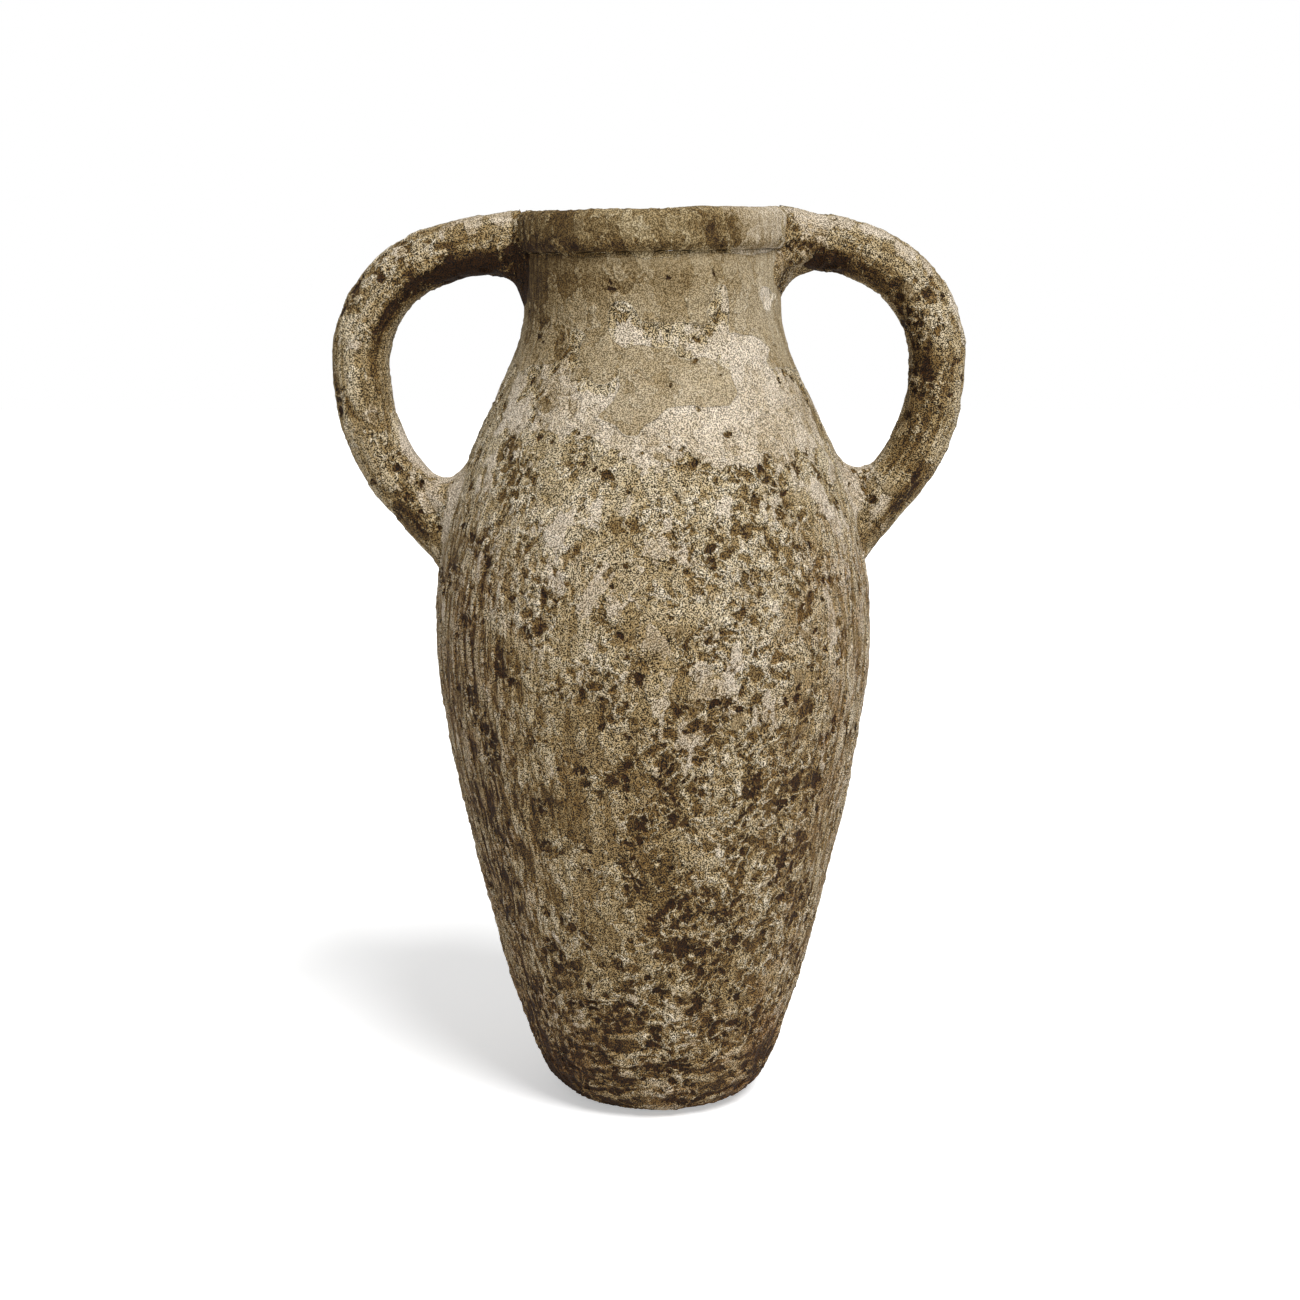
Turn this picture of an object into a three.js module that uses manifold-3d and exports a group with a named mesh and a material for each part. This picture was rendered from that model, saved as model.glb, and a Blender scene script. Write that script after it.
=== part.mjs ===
// A large hand-made terracotta amphora with two ear handles, as the clay pieces it is built from.
// Millimetres, +Z up. The origin is the middle of the flat foot, on the floor.
import * as THREE from "three";
import { mergeVertices } from "three/addons/utils/BufferGeometryUtils.js";
import Module from "manifold-3d";

// ---------- driving dimensions ----------

const HEIGHT = 560; // floor to the top of the rim
const WALL = 12; // thickness of the thrown wall
const SLIP = 0.35; // layer of slip between two clay pieces

const FOOT = { flatRadius: 43, edgeRadius: 33, wallLean: 31, pull: 34, slab: 14 };
const BELLY = { radius: 136, height: 301, pullDown: 68, pullUp: 107 };
const NECK = { radius: 78, start: 472, narrow: 498, pull: 38, top: 535 };
const RIM = { radius: 83, topRound: 7, bottomRound: 5, innerRound: 5 };

// Both handles are bent by hand, so each has its own reach. side is -1 for -X and +1 for +X.
// The centre line leaves the neck at (rootRadius, upperHeight), rising at upperRise degrees, stands
// straight up at (reach, reachHeight) and comes down into the shoulder at lowerFall degrees.
// The four pulls are the lengths of the curve's handles in that order.
const HANDLE_LEFT = {
  side: -1,
  thickness: 35.5,
  depth: 34,
  rootRadius: 72,
  upperHeight: 536.5,
  upperRise: 8,
  reach: 180.5,
  reachHeight: 472,
  lowerRadius: 124,
  lowerHeight: 361.5,
  lowerFall: 45,
  pulls: [98, 10, 70, 32],
};
const HANDLE_RIGHT = {
  side: 1,
  thickness: 34.5,
  depth: 34,
  rootRadius: 72,
  upperHeight: 541,
  upperRise: 5,
  reach: 176,
  reachHeight: 470,
  lowerRadius: 114,
  lowerHeight: 359,
  lowerFall: 45,
  pulls: [89, 21, 67, 31],
};

// A wad fills the corner between the wall and the inner side of a handle. corner is where the two
// surfaces meet, alongWall and alongHandle run from there to the wad's feathered ends.
const WADS = {
  handle_left_upper_wad: {
    side: -1,
    corner: [79, 518],
    alongWall: [-1, -14],
    alongHandle: [16, 5],
    width: 26,
  },
  handle_left_lower_wad: {
    side: -1,
    corner: [121, 389],
    alongWall: [-10, 22],
    alongHandle: [16, 8],
    width: 30,
  },
  handle_right_upper_wad: {
    side: 1,
    corner: [78, 523],
    alongWall: [-1, -16],
    alongHandle: [17, 2],
    width: 30,
  },
  handle_right_lower_wad: {
    side: 1,
    corner: [118, 392],
    alongWall: [-9, 20],
    alongHandle: [18, 11],
    width: 30,
  },
};
const WAD_HOLLOW = 0.25; // how far the wad's open face lies from its corner, as a share of its legs

// Fineness of the round surfaces.
const ROUND_SEGMENTS = 56;
const HANDLE_SIDES = 20;
const HANDLE_STEPS = 26;
const WALL_STEP = 22; // height between two rings of the wall
const ARC_STEPS = 3;

const degrees = THREE.MathUtils.degToRad;
const manifold = await Module();
manifold.setup();

// ---------- solids ----------

function toSolid(geometry) {
  const bare = geometry.clone();
  bare.deleteAttribute("normal");
  bare.deleteAttribute("uv");
  const merged = mergeVertices(bare, 1e-3);
  const mesh = new manifold.Mesh({
    numProp: 3,
    vertProperties: merged.attributes.position.array,
    triVerts: new Uint32Array(merged.index.array),
  });
  return new manifold.Manifold(mesh);
}

function toGeometry(solid) {
  const mesh = solid.getMesh();
  const geometry = new THREE.BufferGeometry();
  geometry.setAttribute("position", new THREE.BufferAttribute(mesh.vertProperties, 3));
  geometry.setIndex(new THREE.BufferAttribute(mesh.triVerts, 1));
  geometry.computeVertexNormals();
  return geometry;
}

// Turns a profile of (radius, height) points about the Z axis.
function turn(profile) {
  return new THREE.LatheGeometry(profile, ROUND_SEGMENTS).rotateX(Math.PI / 2);
}

// ---------- outline of the pot ----------

// The outside of the wall, from the edge of the flat foot to the top of the neck.
function wallPath() {
  const lean = degrees(FOOT.wallLean);
  const path = new THREE.Path();
  path.absarc(FOOT.flatRadius, FOOT.edgeRadius, FOOT.edgeRadius, -Math.PI / 2, -lean, false);
  const low = path.currentPoint.clone();
  path.bezierCurveTo(
    low.x + FOOT.pull * Math.sin(lean),
    low.y + FOOT.pull * Math.cos(lean),
    BELLY.radius,
    BELLY.height - BELLY.pullDown,
    BELLY.radius,
    BELLY.height,
  );
  path.bezierCurveTo(
    BELLY.radius,
    BELLY.height + BELLY.pullUp,
    NECK.radius,
    NECK.narrow - NECK.pull,
    NECK.radius,
    NECK.narrow,
  );
  path.lineTo(NECK.radius, HEIGHT);
  return path;
}

const OUTLINE = wallPath().getSpacedPoints(1200);

// The point of the outside at a height, moved inwards along the normal by inset.
function wallPoint(height, inset = 0) {
  const i = Math.max(1, OUTLINE.findIndex((point) => point.y >= height));
  const below = OUTLINE[i - 1];
  const above = OUTLINE[i];
  const share = THREE.MathUtils.clamp((height - below.y) / (above.y - below.y), 0, 1);
  const along = above.clone().sub(below).normalize();
  const outwards = new THREE.Vector2(along.y, -along.x);
  return below.clone().lerp(above, share).addScaledVector(outwards, -inset);
}

function heightsBetween(low, high) {
  const steps = Math.max(2, Math.round((high - low) / WALL_STEP));
  return Array.from({ length: steps + 1 }, (_, i) => low + ((high - low) * i) / steps);
}

// A closed ring of wall between two heights, cut square to the wall at both ends.
function wallRing(low, high) {
  const heights = heightsBetween(low, high);
  const outside = heights.map((height) => wallPoint(height));
  const inside = heights.map((height) => wallPoint(height, WALL)).reverse();
  return [...outside, ...inside];
}

function closed(profile) {
  return [...profile, profile[0].clone()];
}

// ---------- clay pieces of the pot ----------

function baseSlab() {
  const arc = Array.from({ length: ARC_STEPS + 1 }, (_, i) => {
    const angle = -Math.PI / 2 + (Math.acos(1 - FOOT.slab / FOOT.edgeRadius) * i) / ARC_STEPS;
    return new THREE.Vector2(
      FOOT.flatRadius + FOOT.edgeRadius * Math.cos(angle),
      FOOT.edgeRadius * (1 + Math.sin(angle)),
    );
  });
  return turn([new THREE.Vector2(0, 0), ...arc, new THREE.Vector2(0, FOOT.slab)]);
}

// The lower wall stands flat on the slab, with a fillet of clay pressed into the inner corner.
function lowerBody() {
  const ring = wallRing(FOOT.slab + SLIP, BELLY.height);
  const innerEdge = ring[ring.length - 1];
  const fillet = new THREE.Vector2(innerEdge.x - WALL / 2, FOOT.slab + SLIP);
  return turn(closed([...ring, fillet]));
}

function upperBody() {
  return turn(closed(wallRing(BELLY.height + SLIP, NECK.start)));
}

function neck() {
  return turn(closed(wallRing(NECK.start + SLIP, NECK.top)));
}

// Rounded section of the rim, grown outwards by grow. Its inner side lies at innerRadius.
function rimProfile(innerRadius, innerRound, grow = 0) {
  const low = NECK.top + SLIP - grow;
  const high = HEIGHT + grow;
  const outer = RIM.radius + grow;
  const section = new THREE.Path();
  section.moveTo(innerRadius, low);
  section.lineTo(outer - RIM.bottomRound, low);
  section.absarc(outer - RIM.bottomRound, low + RIM.bottomRound, RIM.bottomRound, -Math.PI / 2, 0);
  section.absarc(outer - RIM.topRound, high - RIM.topRound, RIM.topRound, 0, Math.PI / 2);
  section.lineTo(innerRadius + innerRound, high);
  if (innerRound > 0) {
    section.absarc(innerRadius + innerRound, high - innerRound, innerRound, Math.PI / 2, Math.PI);
  }
  return section.getPoints(ARC_STEPS);
}

function rimBand() {
  return turn(closed(rimProfile(NECK.radius - WALL, RIM.innerRound)));
}

// The whole pot without handles, solid to the axis and grown by the slip layer.
function potEnvelope() {
  const wall = heightsBetween(FOOT.slab, NECK.top).map((height) => wallPoint(height, -SLIP));
  const wallTop = wall[wall.length - 1];
  const filledWall = turn([
    new THREE.Vector2(0, wall[0].y),
    ...wall,
    new THREE.Vector2(0, wallTop.y),
  ]);
  const filledRim = turn([...rimProfile(0, 0, SLIP)]);
  return toSolid(filledWall).add(toSolid(filledRim));
}

// ---------- handles ----------

function handleCurve(handle) {
  const at = (radius, height) => new THREE.Vector3(handle.side * radius, 0, height);
  const heading = (angle) => at(Math.cos(degrees(angle)), Math.sin(degrees(angle)));
  const [leave, arrive, drop, enter] = handle.pulls;
  const upper = at(handle.rootRadius, handle.upperHeight);
  const apex = at(handle.reach, handle.reachHeight);
  const lower = at(handle.lowerRadius, handle.lowerHeight);
  const rise = heading(handle.upperRise);
  const fall = heading(handle.lowerFall);
  const plumb = new THREE.Vector3(0, 0, 1);
  const curve = new THREE.CurvePath();
  curve.add(new THREE.LineCurve3(upper.clone().addScaledVector(rise, -WALL), upper));
  curve.add(
    new THREE.CubicBezierCurve3(
      upper,
      upper.clone().addScaledVector(rise, leave),
      apex.clone().addScaledVector(plumb, arrive),
      apex,
    ),
  );
  curve.add(
    new THREE.CubicBezierCurve3(
      apex,
      apex.clone().addScaledVector(plumb, -drop),
      lower.clone().addScaledVector(fall, enter),
      lower,
    ),
  );
  curve.add(new THREE.LineCurve3(lower, lower.clone().addScaledVector(fall, -WALL)));
  return curve;
}

// The coil of a handle, grown by grow, before the pot is cut away from its ends.
function handleCoil(handle, grow = 0) {
  const section = new THREE.Shape();
  const across = handle.thickness / 2 + grow;
  const deep = handle.depth / 2 + grow;
  section.absellipse(0, 0, deep, across, 0, 2 * Math.PI, false, 0);
  const coil = new THREE.ExtrudeGeometry(section, {
    steps: HANDLE_STEPS,
    curveSegments: HANDLE_SIDES / 2,
    extrudePath: handleCurve(handle),
  });
  return toSolid(coil);
}

function handlePiece(handle, envelope) {
  return toGeometry(handleCoil(handle).subtract(envelope));
}

// ---------- wads in the corners of the handle roots ----------

function wadPiece(wad, handle, envelope) {
  const corner = new THREE.Vector2(...wad.corner);
  const toWall = new THREE.Vector2(...wad.alongWall);
  const toHandle = new THREE.Vector2(...wad.alongHandle);
  const legs = toWall.clone().add(toHandle);
  const buried = corner.clone().addScaledVector(legs, -1 / 2);
  const hollow = corner.clone().addScaledVector(legs, WAD_HOLLOW);
  const wallEnd = corner.clone().add(toWall);
  const handleEnd = corner.clone().add(toHandle);
  const section = new THREE.Shape();
  section.moveTo(buried.x, buried.y);
  section.lineTo(wallEnd.x, wallEnd.y);
  section.quadraticCurveTo(hollow.x, hollow.y, handleEnd.x, handleEnd.y);
  section.closePath();
  const wedge = new THREE.ExtrudeGeometry(section, {
    depth: wad.width,
    curveSegments: 2 * ARC_STEPS,
    bevelEnabled: false,
  });
  wedge.translate(0, 0, -wad.width / 2).rotateX(Math.PI / 2);
  if (wad.side < 0) wedge.rotateZ(Math.PI);
  return toGeometry(toSolid(wedge).subtract(envelope).subtract(handleCoil(handle, SLIP)));
}

// ---------- the amphora ----------

function clay(name, geometry, color) {
  const material = new THREE.MeshStandardMaterial({ color, roughness: 0.95, metalness: 0 });
  const mesh = new THREE.Mesh(geometry, material);
  mesh.name = name;
  return mesh;
}

const envelope = potEnvelope();
const amphora = new THREE.Group();
amphora.name = "amphora";

const pot = new THREE.Group();
pot.add(
  clay("base_slab", baseSlab(), 0x6e5436),
  clay("lower_body", lowerBody(), 0x75603f),
  clay("upper_body", upperBody(), 0x9c876a),
  clay("neck", neck(), 0x8c7754),
  clay("rim_band", rimBand(), 0x7b6b52),
);

const leftEar = new THREE.Group();
leftEar.add(clay("handle_left", handlePiece(HANDLE_LEFT, envelope), 0x7f6d52));

const rightEar = new THREE.Group();
rightEar.add(clay("handle_right", handlePiece(HANDLE_RIGHT, envelope), 0x85745a));

for (const [name, wad] of Object.entries(WADS)) {
  const isLeft = wad.side < 0;
  const handle = isLeft ? HANDLE_LEFT : HANDLE_RIGHT;
  const ear = isLeft ? leftEar : rightEar;
  ear.add(clay(name, wadPiece(wad, handle, envelope), 0xa8977c));
}

amphora.add(pot, leftEar, rightEar);

export default amphora;
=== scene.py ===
"""The looks of a hand-made terracotta amphora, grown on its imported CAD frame. Metres, +Z up.

Every CAD piece is replaced by a fine mesh of the same shape. One relief, made of noise nodes, is used
twice: geometry nodes push the skin in and out by it, and the clay material colours the skin by it, so
that dirt lies in the pits and the pale wash lies on the high places.
"""
import math
from typing import NamedTuple

import bpy
import numpy as np
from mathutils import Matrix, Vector
from mathutils.bvhtree import BVHTree


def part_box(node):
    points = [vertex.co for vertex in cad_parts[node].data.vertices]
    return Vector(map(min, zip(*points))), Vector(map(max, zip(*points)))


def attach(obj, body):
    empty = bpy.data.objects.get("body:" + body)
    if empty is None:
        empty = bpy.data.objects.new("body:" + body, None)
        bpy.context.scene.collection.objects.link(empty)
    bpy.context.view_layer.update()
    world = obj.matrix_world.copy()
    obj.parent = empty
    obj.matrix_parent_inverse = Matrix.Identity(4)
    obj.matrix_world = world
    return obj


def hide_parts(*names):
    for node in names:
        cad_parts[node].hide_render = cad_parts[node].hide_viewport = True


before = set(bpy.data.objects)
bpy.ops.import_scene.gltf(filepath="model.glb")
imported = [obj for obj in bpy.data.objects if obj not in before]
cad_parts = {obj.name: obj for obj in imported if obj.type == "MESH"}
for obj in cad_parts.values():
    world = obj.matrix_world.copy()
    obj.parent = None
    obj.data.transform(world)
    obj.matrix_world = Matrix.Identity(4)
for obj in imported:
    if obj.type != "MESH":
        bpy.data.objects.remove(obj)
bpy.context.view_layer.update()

MM = 0.001

# ---------- sizes of the visual mesh ----------

ROUND_COLUMNS = 480  # columns of faces round the pot
SKIN_STEP = 1.8 * MM  # height of a face on the outside
INNER_STEP = 9 * MM  # height of a face on the inside, which only the mouth shows
RIM_STEP = 1.4 * MM  # size of a face round the rim's section
COIL_STEP = 1.6 * MM  # length of a face on a handle
COIL_COLUMNS = 72
WAD_COLUMNS = 120
WAD_ROWS = 22
WALL = 12 * MM  # thickness of the pot's wall
BURIED = 8 * MM  # how deep under the pot's skin a handle ends
SEAM = 0.15 * MM  # clearance behind the skin between two pieces of wall
POLE_RING = 6 * MM  # radius of the smallest ring of faces round the middle of the foot

# ---------- how the hand-made pot strays from the true one ----------

FOOT_SHIFT = 2.2 * MM  # the foot stands this far to +X of the axis
LEAN_TOP = 0.40  # height above which the pot stands true
RIM_TILT = math.radians(1.1)  # the rim rises towards +X
TILT_START, TILT_FULL = 0.49, 0.54  # heights between which the tilt sets in
OUTLINE_ROUNDING = 5 * MM  # how far the corners of the pot's outline are worn round
RIM_ROUNDING = 1.2 * MM

# ---------- measuring the frame ----------

RAY_START = 1.0  # rays at the pot start this far in front of its axis
HAIR = 0.05 * MM  # keeps a ray clear of an edge
OVER_GAP = 0.6 * MM  # reaches over the gap between two CAD pieces
OUTLINE_STEP = 1 * MM
HEIGHTS_PER_NODE = 40


def skin_tree(node):
    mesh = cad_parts[node].data
    corners = [v.co for v in mesh.vertices]
    return BVHTree.FromPolygons(corners, [p.vertices for p in mesh.polygons])


def cast(tree, start, direction):
    """Distance from start to the first face that the ray meets, or None."""
    return tree.ray_cast(Vector(start), Vector(direction))[3]


def per_axis(change, points):
    """The points with change applied to each of their coordinates in turn."""
    return np.stack([change(points[:, k]) for k in range(points.shape[1])], axis=-1)


def legs(points):
    """Lengths of the polyline's legs."""
    return np.linalg.norm(np.diff(points, axis=0), axis=1)


def running_length(points):
    """Distance along the polyline from its start to each of its points."""
    return np.concatenate([[0], np.cumsum(legs(points))])


def resample(points, step):
    """The polyline with evenly spaced points about step apart."""
    points = np.asarray(points, float)
    along = running_length(points)
    count = max(2, int(round(along[-1] / step)) + 1)
    at = np.linspace(0, along[-1], count)
    return per_axis(lambda axis: np.interp(at, along, axis), points)


def headings(line):
    """Unit direction of the polyline at each of its points."""
    along = np.gradient(line, axis=0)
    return along / np.linalg.norm(along, axis=1)[:, None]


def soften(points, step, reach):
    """The polyline, evenly spaced by step, with its corners rounded over reach. Its ends stay put."""
    half = int(3 * reach / step)
    weights = np.exp(-0.5 * (np.arange(-half, half + 1) * step / reach) ** 2)
    weights /= weights.sum()
    first = 2 * points[0] - points[half:0:-1]
    last = 2 * points[-1] - points[-2:-half - 2:-1]
    padded = np.concatenate([first, points, last])
    return per_axis(lambda axis: np.convolve(axis, weights, "valid"), padded)


def pot_outline():
    """(radius, height) points of the pot's outside from the foot to the rim, and each node's top."""
    nodes = ["base_slab", "lower_body", "upper_body", "neck"]
    tops = [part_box(node)[1].z for node in nodes]
    points = [(0.0, 0.0)]
    low = HAIR
    for node, top in zip(nodes, tops):
        tree = skin_tree(node)
        share = np.linspace(0, 1, HEIGHTS_PER_NODE)
        if node == "base_slab":
            share = share ** 2  # closer together low down, where the slab's edge is round
        for height in low + (top - 2 * HAIR - low) * share:
            reached = cast(tree, (HAIR, -RAY_START, height), (0, 1, 0))
            if reached is not None:
                points.append((RAY_START - reached, height))
        low = top + OVER_GAP
    return soften(resample(points, OUTLINE_STEP), OUTLINE_STEP, OUTLINE_ROUNDING), tops


OUTLINE, JOINTS = pot_outline()


def radius_at(height):
    return np.interp(height, OUTLINE[:, 1], OUTLINE[:, 0])


def outline_between(low, high):
    """The outline's points between two heights."""
    heights = OUTLINE[:, 1]
    inside = OUTLINE[(heights > low) & (heights < high)]
    ends = [[radius_at(z), z] for z in (low, high)]
    return np.concatenate([ends[:1], inside, ends[1:]])


# ---------- mesh grids ----------

def add_object(name, data):
    made = bpy.data.objects.new(name, data)
    bpy.context.scene.collection.objects.link(made)
    return made


BAKE_MARGIN = 0.006  # empty border of each strip in the bake map


class BakeMap:
    """Where a grid's corners lie in the bake map. The ring is cut into strips, one above the other."""

    def __init__(self, places, columns, strips):
        self.places, self.strips = places, strips
        self.per_strip = columns / strips

    def strip_of(self, column):
        return np.floor(column / self.per_strip)

    def spot(self, row, column, strip):
        border = BAKE_MARGIN * self.strips
        u = BAKE_MARGIN + (1 - 2 * BAKE_MARGIN) * (column - strip * self.per_strip) / self.per_strip
        v = (strip + border + (1 - 2 * border) * self.places[row]) / self.strips
        return np.stack([u, v], axis=-1)


def grid_faces(rows, columns, bands, bake):
    """The four-sided faces of a grid whose columns run round in a ring, and their bake spots."""
    i, j = (axis.ravel() for axis in np.meshgrid(np.arange(bands), np.arange(columns), indexing="ij"))
    below, above = i * columns, ((i + 1) % rows) * columns
    beside = (j + 1) % columns
    faces = np.stack([below + j, below + beside, above + beside, above + j], axis=1)
    strip = bake.strip_of(j)
    round_face = ((0, 0), (0, 1), (1, 1), (1, 0))
    spots = np.stack([bake.spot(i + up, j + on, strip) for up, on in round_face], axis=1)
    return faces.tolist(), spots.reshape(-1, 2)


def cap_faces(row, pole, turn, columns, bake):
    """The fan of triangles that closes an end row at its pole. turn is -1 at the first row, 1 at the last."""
    ring = np.arange(columns)
    strip = bake.strip_of(ring)
    fan = [row * columns + ring, row * columns + (ring + 1) % columns, np.full(columns, pole)][::turn]
    at = np.full(columns, row)
    spots = [bake.spot(at, ring + part, strip) for part in (0, 1, 0.5)][::turn]
    return np.stack(fan, axis=1).tolist(), np.stack(spots, axis=1).reshape(-1, 2)


def make_piece(name, points, places, strips=1, wrap_rows=False, poles=None):
    """A closed mesh from a (rows, columns, 3) grid of points whose columns run round in a ring.

    Either the rows close too, or each end is capped at a pole. places gives each row line's place from
    0 to 1 in the bake map.
    """
    rows, columns = points.shape[:2]
    bake = BakeMap(places, columns, strips)
    faces, grid_spots = grid_faces(rows, columns, rows if wrap_rows else rows - 1, bake)
    verts, spots = points.reshape(-1, 3), [grid_spots]
    if poles is not None:
        verts = np.concatenate([verts, np.asarray(poles, float)])
        for row, pole, turn in ((0, rows * columns, -1), (rows - 1, rows * columns + 1, 1)):
            fan, fan_spots = cap_faces(row, pole, turn, columns, bake)
            faces += fan
            spots.append(fan_spots)
    mesh = bpy.data.meshes.new(name)
    mesh.from_pydata(verts.tolist(), [], faces)
    uv = np.concatenate(spots).astype(np.float32)
    mesh.uv_layers.new(name="OFBake").data.foreach_set("uv", uv.ravel())
    mesh.polygons.foreach_set("use_smooth", np.ones(len(faces), bool))
    return add_object(name, mesh)


def directions(points, wrap_rows=False):
    """Outward unit directions of a (rows, columns, 3) grid whose columns run round in a ring."""
    across = np.roll(points, -1, axis=1) - np.roll(points, 1, axis=1)
    if wrap_rows:
        along = np.roll(points, -1, axis=0) - np.roll(points, 1, axis=0)
    else:
        along = np.gradient(points, axis=0)
    out = np.cross(across, along)
    return out / np.maximum(np.linalg.norm(out, axis=2, keepdims=True), 1e-12)


def write_attribute(piece, name, values):
    """Stores one number or one vector for each vertex."""
    values = np.asarray(values, np.float32)
    is_vector = values.ndim == 2
    kind, field = ("FLOAT_VECTOR", "vector") if is_vector else ("FLOAT", "value")
    layer = piece.data.attributes.new(name, kind, "POINT")
    layer.data.foreach_set(field, values.ravel())


def spread(lengths, weights):
    """Each row line's place from 0 to 1, where the bands between them count by length times weight."""
    bands = lengths * weights
    return np.concatenate([[0], np.cumsum(bands)]) / np.sum(bands)


# ---------- painting the skin: slow changes of the coat, as numbers on the vertices ----------

PATCH_FALL = 0.7  # how fast a patch fades with the distance from its middle
BASE_PITS = 0.12  # how pitted the wall is where no patch says otherwise
GROOVE_LEVEL, GROOVE_HALF = 0.5385, 3.5 * MM  # height and half height of the painted shade along the rim band's lower edge
INSIDE_TONE = -0.6  # the inside is darker

# Each patch: (azimuth in degrees from the front, +X positive; height in mm; half width; half height;
# strength). Widths and heights are in mm on the skin.
WASH = [
    (20, 545, 150, 24, -0.4),
    (8, 486, 18, 7, 0.6),
    (-14, 494, 7, 10, 0.6),
    (50, 512, 16, 30, 0.9),
    (34, 478, 26, 6, 0.9),
    (-40, 452, 34, 16, 0.5),
    (26, 438, 60, 20, 1.7),
    (-6, 436, 34, 10, 1.4),
    (44, 500, 14, 44, 0.9),
    (52, 546, 30, 18, 1.5),
    (0, 396, 150, 28, 0.15),
    (14, 408, 30, 8, -0.5),
    (-24, 420, 16, 10, -0.9),
    (-2, 330, 70, 40, 0.35),
    (-20, 400, 30, 24, 0.3),
    (-50, 430, 24, 50, 0.4),
    (14, 272, 36, 20, 0.7),
    (60, 400, 20, 60, 0.4),
    (150, 440, 80, 30, 0.9),
    (-130, 400, 70, 34, 0.7),
    (110, 300, 60, 50, 0.5),
    (-155, 250, 60, 40, 0.5),
]
TROWEL = [
    (20, 455, 26, 6, 1.4),
    (-6, 448, 18, 12, 1.2),
    (44, 470, 10, 16, -0.9),
    (6, 488, 16, 5, -1.3),
    (-14, 496, 7, 9, -1.3),
    (30, 500, 8, 12, -1.0),
    (36, 478, 22, 5, -1.2),
    (-34, 470, 10, 14, -1.2),
]
PITS = [
    (0, 548, 190, 16, -0.6),
    (30, 240, 44, 90, 1.1),
    (22, 130, 54, 70, 1.0),
    (6, 262, 22, 16, 0.8),
    (-14, 290, 26, 20, 0.3),
    (30, 350, 46, 46, 0.5),
    (0, 350, 80, 50, 0.3),
    (-10, 60, 70, 36, 0.35),
    (-44, 400, 40, 70, 0.7),
    (34, 405, 34, 24, 0.5),
    (-4, 396, 70, 24, 0.35),
    (-22, 190, 30, 60, -0.2),
    (130, 200, 110, 90, 0.6),
    (-120, 150, 110, 80, 0.5),
    (-165, 330, 80, 60, 0.5),
]
TONE = [
    (-60, 550, 70, 16, -1.0),
    (-14, 552, 30, 8, 0.5),
    (-30, 540, 40, 8, -0.3),
    (-32, 529, 44, 5, 0.7),
    (10, 530, 24, 5, 0.3),
    (-45, 547, 26, 6, 0.45),
    (8, 545, 14, 4, 0.35),
    (24, 550, 16, 8, -1.4),
    (40, 538, 20, 8, -1.0),
    (70, 540, 24, 24, 0.5),
    (-64, 520, 44, 26, -1.1),
    (0, 520, 120, 12, -0.1),
    (38, 518, 26, 6, -0.5),
    (-38, 474, 26, 14, -0.9),
    (-22, 488, 14, 24, 0.5),
    (-36, 445, 14, 12, -0.7),
    (0, 446, 30, 10, 0.6),
    (-64, 425, 30, 40, 0.8),
    (24, 470, 40, 12, 0.4),
    (4, 486, 26, 12, 0.3),
    (52, 500, 30, 34, 0.6),
    (68, 445, 24, 16, -1.2),
    (-10, 420, 70, 14, -0.4),
    (36, 400, 14, 20, -0.5),
    (0, 368, 14, 10, -0.6),
    (-4, 404, 60, 22, 0.45),
    (24, 390, 14, 30, 0.4),
    (-24, 368, 24, 16, 0.4),
    (-42, 345, 20, 16, 0.6),
    (-12, 342, 12, 12, -0.9),
    (12, 344, 34, 12, 1.0),
    (-24, 412, 30, 24, 0.45),
    (48, 318, 12, 14, -0.5),
    (36, 270, 12, 12, -0.5),
    (22, 300, 20, 30, 0.5),
    (0, 315, 14, 14, -0.9),
    (12, 272, 12, 12, -0.9),
    (12, 230, 14, 24, 0.7),
    (-30, 218, 14, 14, -0.5),
    (24, 168, 20, 16, 0.5),
    (36, 110, 16, 50, 0.6),
    (0, 50, 40, 14, 0.5),
    (-24, 45, 20, 12, 0.4),
    (-58, 210, 24, 150, -0.3),
    (-62, 180, 40, 170, -0.5),
    (-36, 240, 40, 90, -0.35),
    (-20, 190, 40, 70, -0.5),
    (2, 180, 20, 60, -1.1),
    (24, 108, 20, 24, -0.6),
    (0, 66, 30, 14, 0.5),
    (56, 185, 22, 40, -0.6),
    (-30, 60, 40, 30, -0.5),
    (26, 120, 16, 90, -0.5),
    (8, 290, 26, 60, -0.3),
    (52, 200, 24, 80, -0.3),
    (72, 260, 20, 150, 0.3),
    (-14, 110, 30, 40, 0.2),
    (-20, 66, 30, 24, -0.7),
    (-60, 40, 60, 44, -0.6),
    (50, 40, 40, 44, -0.5),
    (-56, 14, 60, 24, -1.9),
    (64, 14, 60, 26, -2.0),
    (14, 18, 44, 14, 2.0),
    (-58, 20, 40, 12, -0.5),
    (-100, 250, 70, 150, -0.4),
    (170, 60, 150, 60, -0.5),
    (170, 12, 150, 24, -0.9),
    (120, 420, 120, 60, 0.3),
    (180, 545, 150, 22, -0.8),
]


def ramp(x, start, end):
    """0 before start, 1 after end, smooth between them."""
    t = np.clip((x - start) / (end - start), 0, 1)
    return t * t * (3 - 2 * t)


def turn_between(angle, centre):
    """Angle from centre to angle, from minus half a turn to half a turn."""
    return (angle - centre + math.pi) % (2 * math.pi) - math.pi


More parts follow.
